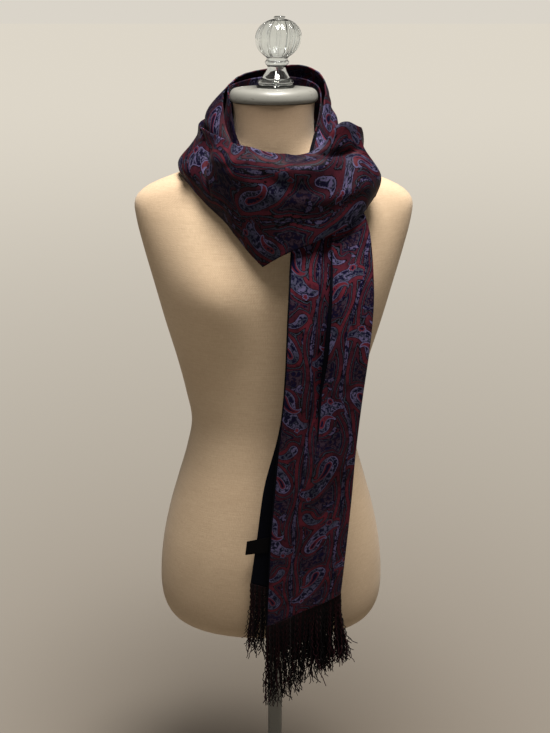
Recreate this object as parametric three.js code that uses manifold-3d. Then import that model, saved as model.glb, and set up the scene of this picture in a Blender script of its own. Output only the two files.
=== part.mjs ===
// A fringed scarf, folded in half and looped round the neck of a dress form.
// Millimetres, +Z up, the front of the form towards -Y, the origin under the middle of the base.
import * as THREE from "three";
import { mergeVertices } from "three/addons/utils/BufferGeometryUtils.js";
import Module from "manifold-3d";

const wasm = await Module();
wasm.setup();

// Driving dimensions

const SEAM = 0.3; // the gap between two pieces that meet
const DOUBLE_CLOTH = 2.0; // printed face and navy backing as one wall
const SINGLE_CLOTH = 0.9; // printed face or navy backing alone
const STAND_HEIGHT = 425; // floor to the underside of the form
const NECK_TOP = 1147;
const CAP = {
  radius: 52, height: 19, foot: 48, top: 36, edge: 6, edgeHigh: 7, edgeMiddle: 8.5, edgeSteps: 6,
};
const POLE_RADIUS = 11;
const BASE = { radius: 150, height: 14, step: 0.45, bevel: 4, shoulder: 0.75, slope: 0.9, crown: 24 };
const FINIAL_RIBS = 12;
const FINIAL_GROOVE = 0.07; // depth of the grooves between ribs, as a share of the radius
const STEPS_PER_RIB = 3;

// Where the stretches of the loop meet, in degrees round the neck, and how much is cut off each end for the seam
const SEAM_TURNS = { start: -300, right: -252, left: -128, front: -58, end: 60 };
const SEAM_CUT = 0.3;
const LOOP_FOLD = { from: 0.03, to: 0.96 }; // the part of the half turn that the folded end takes
const TAIL_START = 1.5; // the hanging ends start this far along, clear of the loop

const LABEL = { width: 29, height: 18, thick: 0.7, overhang: 12.5, along: 534, tilt: 0.16, tailWidth: 100 };
const FRINGE = { length: 138, strip: 3, thick: 1.6, strand: 0.55, perTail: 60, shortest: 0.86, vary: 0.16 };
const STRIP_DROP = 0.5; // on top of the seam, because the hem slopes
const SWAY = {
  spread: 0.06, middle: 0.3, across: 2.2, deep: 3, wave: 1.1, waves: 5, stagger: 0.35, taper: 0.35,
};

// How many steps each surface has along and across
const STEPS = {
  form: 32, cap: 36, base: 48, pole: 24,
  acrossLoop: 16, right: 6, back: 12, left: 10, front: 17, fold: 5,
  acrossInner: 6, behind: 12, inner: 26,
  tail: 20, acrossTail: 18, backTail: 16, acrossBackTail: 10,
  label: 7, acrossLabel: 3, strip: 34, strand: 3, aroundStrand: 3,
};

// A table of rows from its column names and their values
function table(names, rows) {
  const columns = names.split(" ");
  return rows.map((row) => Object.fromEntries(columns.map((column, i) => [column, row[i]])));
}

// The form, a row for each level: half its width, how far it stands out in front and behind
const FORM = table("z side front back", [
  [ 425,  118,   62,  70],
  [ 432,  140,   80,  90],
  [ 448,  153,   91, 101],
  [ 475,  159,   96, 106],
  [ 515,  158,   98, 108],
  [ 560,  152,   97, 104],
  [ 605,  142,   92,  95],
  [ 650,  129,   85,  85],
  [ 695,  116,   77,  76],
  [ 740,  108,   72,  71],
  [ 785,  115,   73,  73],
  [ 830,  125,   76,  78],
  [ 880,  138,   79,  84],
  [ 930,  150,   79,  87],
  [ 975,  161,   72,  84],
  [1015,  169,   60,  75],
  [1036,  168,   51,  66],
  [1050,  152,   47,  62],
  [1062,  122,   46,  59],
  [1074,   88,   46,  56],
  [1088,   62,   46,  52],
  [1104,   50, 46.5,  49],
  [1125, 47.5,   47,  48],
  [1147,   48,   48,  48],
]);
const FORM_SQUARENESS = 2.3;
const BUST = { x: 76, z: 932, depth: 19, wide: 46, high: 62 };

// The outer layer of the looped cloth, a row for each direction round the neck. turn is in degrees from the
// front, and runs from the right of the neck, behind it and across the front. Each pair of columns is a
// radius and a height on the way from the top edge to the lower one. The hem comes to a sharp point at one row.
const POINT_TURN = -9.4;
const OUTER = table(
  "turn topR topZ foldR foldZ nipR nipZ rimR rimZ creaseR creaseZ bellyR bellyZ hemR hemZ", [
  [-300,   57, 1122,   63, 1113,   69, 1104,   75, 1096,  81, 1088,  87, 1081,  92, 1075],
  [-282, 58.5, 1143,   65, 1131,   69, 1119,   76, 1107,  82, 1097,  88, 1089,  92, 1081],
  [-260,   60, 1161,   66, 1147,   69, 1132,   76, 1118,  82, 1105,  88, 1094,  91, 1084],
  [-235,   65, 1176,   71, 1161,   72, 1145,   79, 1128,  83, 1112,  87, 1098,  89, 1086],
  [-205,   70, 1185,   76, 1169,   75, 1151,   81, 1134,  82, 1117,  86, 1101,  87, 1087],
  [-175,   70, 1180,   76, 1165,   75, 1149,   82, 1133,  83, 1117,  87, 1101,  88, 1087],
  [-148,   66, 1175,   74, 1159,   75, 1137,   84, 1133,  87, 1118,  94, 1100,  95, 1085],
  [-120,   62, 1165,   76, 1146,   78, 1116,   87, 1127,  91, 1112, 104, 1092, 102, 1079],
  [ -96,   61, 1157,   82, 1133,   81, 1102,   89, 1121,  93, 1107, 110, 1084, 107, 1073],
  [ -76,   62, 1141,   78, 1124,   79, 1099,   87, 1119,  91, 1103, 112, 1078, 110, 1064],
  [ -56,   65, 1114,   72, 1106,   75, 1094,   80, 1113,  85, 1096, 104, 1068, 104, 1040],
  [ -38,   67, 1096,   69, 1090,   72, 1087,   76, 1107,  81, 1092,  99, 1060, 100, 1020],
  [ -20,   68, 1088,   69, 1092,   71, 1097,   75, 1102,  79, 1090,  99, 1053, 101,  993],
  [-9.4,   69, 1082, 70.5, 1088,   71, 1094,   75, 1099,  79, 1089, 100, 1046, 102,  977],
  [   7,   72, 1080, 72.5, 1086, 73.5, 1092, 77.5, 1097,  82, 1088, 105, 1048, 105,  991],
  [  20,   80, 1080,   80, 1086,   81, 1092,   85, 1097,  89, 1089, 113, 1052, 112, 1002],
  [  33,   88, 1087,   88, 1095, 88.5, 1102,   93, 1107,  97, 1094, 122, 1057, 121, 1014],
  [  46,   96, 1103,   95, 1112, 95.5, 1121,  100, 1128, 105, 1101, 132, 1065, 129, 1029],
  [  60,  106, 1104,  105, 1112,  106, 1120,  111, 1126, 114, 1104, 136, 1073, 131, 1048],
]);
const CHEEK = { turn: -76, wide: 13, height: 1078, high: 17, out: 2 }; // the puffed fold over the shoulder
const CHEEK_CREASE = { turn: -58, wide: 5, height: 1082, high: 22, out: -5 };

// The inner layer, which lies against the neck and behind the hanging ends
const INNER = table("turn topR topZ midR midZ lowR lowZ", [
  [-300, 53.5, 1117,   62, 1098,  79, 1078],
  [-270, 54.5, 1151,   60, 1122,  77, 1082],
  [-235, 57.5, 1166,   65, 1130,  77, 1086],
  [-180,   62, 1172,   68, 1133,  76, 1088],
  [-125,   56, 1166,   63, 1133,  76, 1088],
  [ -92, 54.5, 1160,   60, 1132,  75, 1088],
  [ -72, 54.5, 1142,   60, 1122,  76, 1089],
  [ -50,   56, 1108,   61, 1094,  70, 1080],
  [ -20,   59, 1086,   62, 1074,  66, 1061],
  [  10,   60, 1078,   62, 1063,  65, 1047],
  [  30,   61, 1064, 62.5, 1053,  64, 1042],
  [  47,   76, 1060, 77.5, 1050,  79, 1040],
  [  60,   98, 1060, 99.5, 1053, 101, 1046],
]);

// The hanging ends, a row for each section: the left and right edges, how far the section stands out and how
// deep the fold along its middle is. turned is the share of the width turned under at the right, and under is
// how far behind.
const TAIL_COLUMNS = "along leftX leftY leftZ rightX rightY rightZ arch valley turned under";
const FRONT_TAIL = table(TAIL_COLUMNS, [
  [  0, 49.4,  -28.5, 1122,  81.8,  -50.3, 1075, 0.5, 0.5, 0.06, 2.5],
  [ 30,   43,    -51, 1101,    87,    -60, 1061,   1,   1,  0.1, 2.5],
  [ 66,   34,    -70, 1072,    96,    -72, 1043,   2,   2, 0.16, 2.6],
  [104,   25,    -82, 1038,   106,    -82, 1017,   3,   4, 0.24,   3],
  [146, 18.5,    -94, 1000, 110.5,    -94,  985, 4.5,   7, 0.32,   4],
  [200, 15.5,   -111,  946, 112.5,   -110,  938,   6,  11, 0.36,   5],
  [260, 13.2,   -117,  885, 109.5,   -117,  884,   6,  15, 0.36,   5],
  [320, 10.5,   -118,  822,   104,   -118,  826,   6,  18, 0.36,   5],
  [365,  5.5,   -118,  774, 100.5,   -118,  784,   6,  10, 0.36,   5],
  [410,  1.2,   -118,  727,  97.5,   -118,  741,   5,   3, 0.36,   5],
  [470, -3.5,   -118,  664,    95,   -118,  684,   4,   1, 0.35,   5],
  [540,   -8, -118.5,  590,    91, -118.5,  618,   4,   1, 0.34,   5],
  [645,  -12,   -119,  484,  85.5,   -119,  538,   4,   2, 0.33,   5],
]);
const BACK_TAIL = table(TAIL_COLUMNS, [
  [  0,  46.3, -26.7, 1117, 68.4, -39.5, 1079, 0.5, 0, 0, 0],
  [ 30,    39,   -43, 1094,   76,   -52, 1065, 0.5, 0, 0, 0],
  [ 66,    33,   -58, 1066,   84,   -62, 1046,   1, 1, 0, 0],
  [104,    27,   -71, 1032,   90,   -71, 1018, 1.5, 2, 0, 0],
  [146,    22,   -83,  995,   93,   -83,  985,   2, 2, 0, 0],
  [200,  19.5,  -101,  943,   94,  -100,  938,   2, 2, 0, 0],
  [260,    17,  -104,  884,   92,  -104,  884,   2, 2, 0, 0],
  [320,  12.5,  -104,  823,   89,  -104,  826,   2, 2, 0, 0],
  [380,   3.5,  -104,  761,   86,  -104,  768,   2, 2, 0, 0],
  [450, -13.5,  -105,  690,   82,  -105,  700,   2, 2, 0, 0],
  [520,   -23,  -106,  617,   77,  -106,  622,   2, 2, 0, 0],
  [592, -32.5,  -108,  546,   71,  -108,  522,   2, 2, 0, 0],
]);
const BACK_TAIL_LENGTH = BACK_TAIL.at(-1).along;
const FRONT_TAIL_LENGTH = FRONT_TAIL.at(-1).along;

// Tables and surfaces

// Smooth values between the rows of a table, each column as a function of the key column. The row at corner
// keeps a sharp bend in its hem.
function smooth(rows, key, corner = null) {
  const columns = Object.keys(rows[0]);
  function slope(i, column, left) {
    const bend = rows[i][key] === corner && column === "hemZ";
    const a = rows[Math.max(bend && !left ? i : i - 1, 0)];
    const b = rows[Math.min(bend && left ? i : i + 1, rows.length - 1)];
    return (b[column] - a[column]) / (b[key] - a[key]);
  }
  return (at) => {
    let i = 0;
    while (i < rows.length - 2 && at > rows[i + 1][key]) i++;
    const a = rows[i];
    const b = rows[i + 1];
    const span = b[key] - a[key];
    const t = (at - a[key]) / span;
    const row = {};
    for (const column of columns) {
      const start = slope(i, column, false) * span;
      const end = slope(i + 1, column, true) * span;
      const rise = b[column] - a[column];
      const bend = 3 * rise - 2 * start - end;
      row[column] = a[column] + t * (start + t * (bend + t * (start + end - 2 * rise)));
    }
    return row;
  };
}

const bump = (value, middle, wide) => Math.exp(-(((value - middle) / wide) ** 2));

// A point at a radius and height in a direction round the neck
function around(turn, radius, height) {
  const a = THREE.MathUtils.degToRad(turn);
  return new THREE.Vector3(radius * Math.sin(a), -radius * Math.cos(a), height);
}

// The loop's layers: a curve through each row's points, then the puffs of the shoulder fold
const outerRow = smooth(OUTER, "turn", POINT_TURN);
function outerCloth(turn, v) {
  const r = outerRow(turn);
  const profile = new THREE.SplineCurve([
    new THREE.Vector2(r.topR, r.topZ),
    new THREE.Vector2(r.foldR, r.foldZ),
    new THREE.Vector2(r.nipR, r.nipZ),
    new THREE.Vector2(r.rimR, r.rimZ),
    new THREE.Vector2(r.creaseR, r.creaseZ),
    new THREE.Vector2(r.bellyR, r.bellyZ),
    new THREE.Vector2(r.hemR, r.hemZ),
  ]);
  const p = profile.getPoint(v);
  let puff = 0;
  for (const c of [CHEEK, CHEEK_CREASE]) {
    puff += c.out * bump(turn, c.turn, c.wide) * bump(p.y, c.height, c.high);
  }
  return around(turn, p.x + puff, p.y);
}

const innerRow = smooth(INNER, "turn");
function innerCloth(turn, v) {
  const r = innerRow(turn);
  const profile = new THREE.SplineCurve([
    new THREE.Vector2(r.topR, r.topZ),
    new THREE.Vector2(r.midR, r.midZ),
    new THREE.Vector2(r.lowR, r.lowZ),
  ]);
  const p = profile.getPoint(v);
  return around(turn, p.x, p.y);
}

// The fold of the doubled cloth: half a turn from the outer layer's end to the inner layer's
function loopEnd(u, v) {
  const outer = outerCloth(SEAM_TURNS.end, v);
  const inner = innerCloth(SEAM_TURNS.end, v);
  const middle = outer.clone().add(inner).multiplyScalar(0.5);
  const arm = outer.clone().sub(inner).multiplyScalar(0.5);
  const ahead = around(SEAM_TURNS.end + 90, Math.hypot(arm.x, arm.y), 0);
  const swing = Math.PI * u;
  return middle.addScaledVector(arm, Math.cos(swing)).addScaledVector(ahead, Math.sin(swing));
}

// A section of a hanging end runs across the front: shares of the width, and depths as shares of the arch.
// Two arches have the valley between them. A turned section goes on round its right edge and back behind.
const ARCHES = [[0, 0], [1 / 6, 0.8], [1 / 3, 1], [1 / 2, 1], [2 / 3, 1], [5 / 6, 0.9], [1, 0]];
const MIDDLE = 3;
const TURN = { start: 0.985, startArch: 0.2, halfway: 0.5, edge: 0.97 };
function tailSection(row) {
  const points = ARCHES.map(([across, share]) => new THREE.Vector2(across, share * row.arch));
  points[MIDDLE].y -= row.valley;
  if (row.turned) {
    points[points.length - 1].set(TURN.start, TURN.startArch * row.arch);
    points.push(new THREE.Vector2(1, -TURN.halfway * row.under));
    for (const share of [0, 0.5, 1]) {
      points.push(new THREE.Vector2(TURN.edge - row.turned * share, -row.under));
    }
  }
  return new THREE.SplineCurve(points);
}

const HANG = new THREE.Vector3(0, -0.25, -1); // the way that the cloth hangs over the chest

// The surface of a hanging end. past goes on beyond the edge, and lift stands off the surface.
function tailCloth(rows) {
  const rowAt = smooth(rows, "along");
  return (along, v, past = 0, lift = 0) => {
    const row = rowAt(along);
    const left = new THREE.Vector3(row.leftX, row.leftY, row.leftZ);
    const across = new THREE.Vector3(row.rightX, row.rightY, row.rightZ).sub(left);
    const out = new THREE.Vector3().crossVectors(HANG, across).normalize();
    const p = tailSection(row).getPoint(v);
    left.addScaledVector(across, p.x).addScaledVector(out, p.y + lift);
    return left.addScaledVector(across.normalize(), past);
  };
}
const frontTail = tailCloth(FRONT_TAIL);
const backTail = tailCloth(BACK_TAIL);

// Solids

function geometryFrom(points, triangles) {
  const geometry = new THREE.BufferGeometry();
  const places = points.flatMap((p) => [p.x, p.y, p.z]);
  geometry.setAttribute("position", new THREE.Float32BufferAttribute(places, 3));
  geometry.setIndex(triangles.flat());
  return geometry;
}

function volumeOf(points, triangles) {
  let six = 0;
  for (const [a, b, c] of triangles) {
    six += points[a].dot(new THREE.Vector3().crossVectors(points[b], points[c]));
  }
  return six / 6;
}

// A closed geometry with its faces pointing out, whichever way round its grid was given
function closedGeometry(points, triangles) {
  const outward = volumeOf(points, triangles) > 0;
  return geometryFrom(points, outward ? triangles : triangles.map(([a, b, c]) => [a, c, b]));
}

// A wall of cloth: the surface's points moved along its normals to two offsets, with rims all round
function clothWall(surface, [u0, u1, uSteps], [v0, v1, vSteps], [low, high]) {
  const points = [];
  const triangles = [];
  const at = (i, j) => surface(u0 + ((u1 - u0) * i) / uSteps, v0 + ((v1 - v0) * j) / vSteps);
  const tiny = 1e-3;
  for (let i = 0; i <= uSteps; i++) {
    for (let j = 0; j <= vSteps; j++) {
      const p = at(i, j);
      const alongU = at(i + tiny, j).sub(at(i - tiny, j));
      const alongV = at(i, Math.min(j + tiny, vSteps)).sub(at(i, Math.max(j - tiny, 0)));
      const normal = alongV.cross(alongU).normalize();
      points.push(p.clone().addScaledVector(normal, low), p.addScaledVector(normal, high));
    }
  }
  const index = (i, j, side) => 2 * (i * (vSteps + 1) + j) + side;
  const quad = (a, b, c, d) => triangles.push([a, b, c], [a, c, d]);
  for (let i = 0; i < uSteps; i++) {
    for (let j = 0; j < vSteps; j++) {
      quad(index(i, j, 1), index(i, j + 1, 1), index(i + 1, j + 1, 1), index(i + 1, j, 1));
      quad(index(i, j, 0), index(i + 1, j, 0), index(i + 1, j + 1, 0), index(i, j + 1, 0));
    }
    quad(index(i, 0, 0), index(i, 0, 1), index(i + 1, 0, 1), index(i + 1, 0, 0));
    quad(index(i, vSteps, 0), index(i + 1, vSteps, 0), index(i + 1, vSteps, 1), index(i, vSteps, 1));
  }
  for (let j = 0; j < vSteps; j++) {
    quad(index(0, j, 0), index(0, j + 1, 0), index(0, j + 1, 1), index(0, j, 1));
    quad(index(uSteps, j, 0), index(uSteps, j, 1), index(uSteps, j + 1, 1), index(uSteps, j + 1, 0));
  }
  return closedGeometry(points, triangles);
}

// A solid of rings on a vertical axis, closed by a point at each end
function ringSolid(levels, steps, ringPoint) {
  const points = [new THREE.Vector3(0, 0, levels[0])];
  const triangles = [];
  for (const z of levels) {
    for (let k = 0; k < steps; k++) points.push(ringPoint(z, (2 * Math.PI * k) / steps));
  }
  points.push(new THREE.Vector3(0, 0, levels.at(-1)));
  const index = (i, k) => 1 + i * steps + (k % steps);
  for (let k = 0; k < steps; k++) {
    triangles.push([0, index(0, k + 1), index(0, k)]);
    for (let i = 0; i < levels.length - 1; i++) {
      triangles.push([index(i, k), index(i, k + 1), index(i + 1, k + 1)]);
      triangles.push([index(i, k), index(i + 1, k + 1), index(i + 1, k)]);
    }
    triangles.push([points.length - 1, index(levels.length - 1, k), index(levels.length - 1, k + 1)]);
  }
  return closedGeometry(points, triangles);
}

const formRow = smooth(FORM, "z");
const rounded = (value) => Math.sign(value) * Math.abs(value) ** (2 / FORM_SQUARENESS);
function formPoint(z, angle) {
  const row = formRow(z);
  const x = row.side * rounded(Math.cos(angle));
  const ahead = rounded(Math.sin(angle));
  const rise = bump(Math.abs(x), BUST.x, BUST.wide) * bump(z, BUST.z, BUST.high);
  const bust = BUST.depth * rise * Math.sqrt(Math.abs(ahead));
  return new THREE.Vector3(x, ahead > 0 ? -ahead * row.front - bust : -ahead * row.back, z);
}

const lathe = (profile, steps) =>
  new THREE.LatheGeometry(profile.map(([r, z]) => new THREE.Vector2(r, z)), steps).rotateX(Math.PI / 2);

function capGeometry() {
  const profile = [[0, 0], [CAP.foot, 0]];
  for (let k = 0; k <= CAP.edgeSteps; k++) {
    const a = -Math.PI / 2 + (Math.PI * k) / CAP.edgeSteps;
    profile.push([CAP.radius - CAP.edge * (1 - Math.cos(a)), CAP.edgeMiddle + CAP.edgeHigh * Math.sin(a)]);
  }
  profile.push([CAP.top, CAP.height], [0, CAP.height]);
  return lathe(profile, STEPS.cap);
}

function baseGeometry() {
  const { radius, height } = BASE;
  const rim = [[0, 0], [radius, 0], [radius, height * BASE.step], [radius - BASE.bevel, height * BASE.shoulder]];
  const top = [[radius - height, height * BASE.slope], [BASE.crown, height], [0, height]];
  return lathe([...rim, ...top], STEPS.base);
}

function poleGeometry() {
  const length = STAND_HEIGHT - BASE.height - 2 * SEAM;
  return lathe([[0, 0], [POLE_RADIUS, 0], [POLE_RADIUS, length], [0, length]], STEPS.pole);
}

// The glass finial: a flared foot, a waist, a ribbed ball and a small tip
const FINIAL = table("z radius rib", [
  [            0,   20,   0],
  [            4, 20.5,   0],
  [            6, 18.5,   0],
  [           10,   20,   0],
  [           13,   17,   0],
  [           20,   12,   0],
  [           25,   10,   0],
  [           28, 12.5,   0],
  [           31,   11,   0],
  [           34,   17, 0.4],
  [           42, 24.5,   1],
  [           52, 27.5,   1],
  [           62,   26,   1],
  [           70,   20,   1],
  [           75,   10, 0.6],
  [         77.5,    5,   0],
  [           80,    6,   0],
  [           84,    5,   0],
  [  86,  2.5,   0],
]);

function finialGeometry() {
  const rowAt = smooth(FINIAL, "z");
  return ringSolid(FINIAL.map((row) => row.z), STEPS_PER_RIB * FINIAL_RIBS, (z, angle) => {
    const row = rowAt(z);
    const groove = FINIAL_GROOVE * row.rib * (1 - Math.abs(Math.sin((FINIAL_RIBS * angle) / 2)));
    const radius = row.radius * (1 - groove);
    return new THREE.Vector3(radius * Math.cos(angle), radius * Math.sin(angle), z);
  });
}

// The label lies on the navy backing near its left edge and stands out past it
function labelGeometry() {
  const lift = SINGLE_CLOTH + SEAM / 2 + SEAM + LABEL.thick / 2;
  const sheet = (u, v) => {
    const x = u * LABEL.width - LABEL.overhang;
    const along = LABEL.along - (v - 0.5) * LABEL.height - x * LABEL.tilt;
    return backTail(along, Math.max(x, 0) / LABEL.tailWidth, Math.min(x, 0), lift);
  };
  const wall = [-LABEL.thick / 2, LABEL.thick / 2];
  return clothWall(sheet, [0, 1, STEPS.label], [0, 1, STEPS.acrossLabel], wall);
}

function solidOf(geometry) {
  const bare = new THREE.BufferGeometry();
  bare.setAttribute("position", geometry.getAttribute("position"));
  bare.setIndex(geometry.index);
  const merged = mergeVertices(bare, 1e-4);
  return new wasm.Manifold(
    new wasm.Mesh({
      numProp: 3,
      vertProperties: merged.attributes.position.array,
      triVerts: new Uint32Array(merged.index.array),
    }),
  );
}

function geometryOf(solid) {
  const mesh = solid.getMesh();
  const geometry = new THREE.BufferGeometry();
  geometry.setAttribute("position", new THREE.BufferAttribute(new Float32Array(mesh.vertProperties), 3));
  geometry.setIndex(new THREE.BufferAttribute(new Uint32Array(mesh.triVerts), 1));
  return geometry;
}

// A repeatable value from 0 to 1 for each strand
const scatter = (n) => {
  const x = Math.sin(n * 12.9898 + 4.1414) * 43758.5453;
  return x - Math.floor(x);
};

// One strand of fringe: a thin prism that waves a little more towards its end
function strandGeometry(root, length, drift, number) {
  const points = [];
  const triangles = [];
  const parts = STEPS.strand;
  const sides = STEPS.aroundStrand;
  for (let i = 0; i <= parts; i++) {
    const share = i / parts;
    const wave = Math.sin(share * SWAY.waves + number * SWAY.stagger) * SWAY.wave * share;
    const middle = root.clone().addScaledVector(drift, share * share);
    middle.x += wave;
    middle.z -= share * length;
    const radius = FRINGE.strand * (1 - SWAY.taper * share);
    for (let k = 0; k < sides; k++) {
      const a = (2 * Math.PI * k) / sides;
      const offset = new THREE.Vector3(radius * Math.cos(a), radius * Math.sin(a), 0);
      points.push(offset.add(middle));
    }
  }
  for (let i = 0; i < parts; i++) {
    for (let k = 0; k < sides; k++) {
      const a = i * sides + k;
      const b = i * sides + ((k + 1) % sides);
      triangles.push([a, b, b + sides], [a, b + sides, a + sides]);
    }
  }
  const last = parts * sides;
  triangles.push([0, 2, 1], [last, last + 1, last + 2]);
  return closedGeometry(points, triangles);
}

// A strip just under the hem, with the strands fused into it
function fringeGeometry(tail, hem, seed) {
  const sheet = (u, v) => {
    const p = tail(hem, v);
    p.z -= SEAM + STRIP_DROP + u * FRINGE.strip;
    return p;
  };
  const strip = clothWall(sheet, [0, 1, 1], [0, 1, STEPS.strip], [-FRINGE.thick / 2, FRINGE.thick / 2]);
  const pieces = [solidOf(strip)];
  const middle = sheet(0.5, SWAY.middle).x;
  for (let n = 0; n < FRINGE.perTail; n++) {
    const root = sheet(0.5, (n + 0.5) / FRINGE.perTail);
    const length = FRINGE.length * (FRINGE.shortest + FRINGE.vary * scatter(n + seed));
    const across = (root.x - middle) * SWAY.spread + (scatter(3 * n + seed) - 0.5) * SWAY.across;
    const drift = new THREE.Vector3(across, (scatter(7 * n + seed) - 0.5) * SWAY.deep, 0);
    pieces.push(solidOf(strandGeometry(root, length, drift, n)));
  }
  return geometryOf(wasm.Manifold.union(pieces));
}

// The part

const PRINT = { color: 0x43263a, roughness: 0.5, metalness: 0 };
const NAVY = { color: 0x0b0e1c, roughness: 0.85, metalness: 0 };
const LINEN = { color: 0xc4a983, roughness: 0.9, metalness: 0 };
const WHITE = { color: 0xe9e7e1, roughness: 0.45, metalness: 0 };
const GLASS = { color: 0xe8eef0, roughness: 0.05, metalness: 0 };
const FRINGE_YARN = { color: 0x1a1016, roughness: 0.7, metalness: 0 };

const part = new THREE.Group();
function add(name, geometry, finish, z = 0) {
  const mesh = new THREE.Mesh(geometry, new THREE.MeshStandardMaterial(finish));
  mesh.name = name;
  mesh.position.z = z;
  part.add(mesh);
}

const doubled = [-DOUBLE_CLOTH / 2, DOUBLE_CLOTH / 2];
function stretch(surface, from, to, steps, across) {
  return clothWall(surface, [from + SEAM_CUT, to - SEAM_CUT, steps], [0, 1, across], doubled);
}
const outer = (from, to, steps) => stretch(outerCloth, from, to, steps, STEPS.acrossLoop);
const inner = (from, to, steps) => stretch(innerCloth, from, to, steps, STEPS.acrossInner);
const fold = [LOOP_FOLD.from, LOOP_FOLD.to, STEPS.fold];

add("base", baseGeometry(), WHITE);
add("pole", poleGeometry(), WHITE, BASE.height + SEAM);
add("form", ringSolid(FORM.map((row) => row.z), STEPS.form, formPoint), LINEN);
add("neck_cap", capGeometry(), WHITE, NECK_TOP + SEAM);
add("finial", finialGeometry(), GLASS, NECK_TOP + CAP.height + 2 * SEAM);

add("wrap_right", outer(SEAM_TURNS.start, SEAM_TURNS.right, STEPS.right), PRINT);
add("wrap_back", outer(SEAM_TURNS.right, SEAM_TURNS.left, STEPS.back), PRINT);
add("wrap_left", outer(SEAM_TURNS.left, SEAM_TURNS.front, STEPS.left), PRINT);
add("front_band", outer(SEAM_TURNS.front, SEAM_TURNS.end, STEPS.front), PRINT);
add("loop_end", clothWall(loopEnd, fold, [0, 1, STEPS.acrossLoop], doubled), PRINT);
add("band_behind", inner(SEAM_TURNS.front, SEAM_TURNS.end, STEPS.behind), PRINT);
add("inner_wrap", inner(SEAM_TURNS.start, SEAM_TURNS.front, STEPS.inner), PRINT);

// The hanging ends, with the printed face and the backing apart where both show
const frontRun = [TAIL_START, FRONT_TAIL_LENGTH, STEPS.tail];
const backRun = [TAIL_START, BACK_TAIL_LENGTH, STEPS.backTail];
const backAcross = [0, 1, STEPS.acrossBackTail];
const behindSeam = [-SINGLE_CLOTH - SEAM / 2, -SEAM / 2];
const beforeSeam = [SEAM / 2, SINGLE_CLOTH + SEAM / 2];
add("front_tail", clothWall(frontTail, frontRun, [0, 1, STEPS.acrossTail], doubled), PRINT);
add("back_tail_face", clothWall(backTail, backRun, backAcross, behindSeam), PRINT);
add("back_tail_backing", clothWall(backTail, backRun, backAcross, beforeSeam), NAVY);
add("label", labelGeometry(), NAVY);
add("front_fringe", fringeGeometry(frontTail, FRONT_TAIL_LENGTH, 11), FRINGE_YARN);
add("back_fringe", fringeGeometry(backTail, BACK_TAIL_LENGTH, 47), FRINGE_YARN);

export default part;
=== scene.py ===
import math

import bmesh
import bpy
import numpy as np
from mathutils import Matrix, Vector


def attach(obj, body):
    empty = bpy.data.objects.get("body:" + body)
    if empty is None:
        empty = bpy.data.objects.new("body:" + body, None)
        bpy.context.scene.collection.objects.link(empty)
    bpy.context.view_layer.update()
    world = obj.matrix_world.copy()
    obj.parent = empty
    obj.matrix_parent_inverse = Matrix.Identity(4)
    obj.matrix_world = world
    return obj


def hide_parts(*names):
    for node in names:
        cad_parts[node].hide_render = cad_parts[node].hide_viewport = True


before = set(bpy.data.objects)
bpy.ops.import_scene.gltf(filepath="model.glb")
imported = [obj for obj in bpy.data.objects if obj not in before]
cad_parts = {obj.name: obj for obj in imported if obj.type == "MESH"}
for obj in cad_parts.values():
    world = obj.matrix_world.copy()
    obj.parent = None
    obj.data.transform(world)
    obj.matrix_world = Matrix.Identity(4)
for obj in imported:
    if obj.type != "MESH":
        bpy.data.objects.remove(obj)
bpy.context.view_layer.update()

# Heights and walls are in millimetres, and turns round the neck are in degrees from the front
MM = 0.001
FORM_BOTTOM, NECK_TOP = 425.0, 1147.0
CAP_X, CAP_Z = -1.6, NECK_TOP + 0.3
FINIAL_Z = CAP_Z + 15.3
LOOP_START, LOOP_END = -300.0, 60.0
TAIL_START, FRONT_HEM, BACK_HEM = 1.5, 645.0, 592.0
LOOP_WALL, INNER_WALL, FRONT_WALL, BACK_WALL = 1.6, 1.4, 1.5, 1.7

# Tables of the cloth and the form, in millimetres and degrees, with a name for each column


def table(columns, rows):
    data = np.array(rows, float)
    return {name: data[:, i] for i, name in enumerate(columns.split())}


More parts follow.
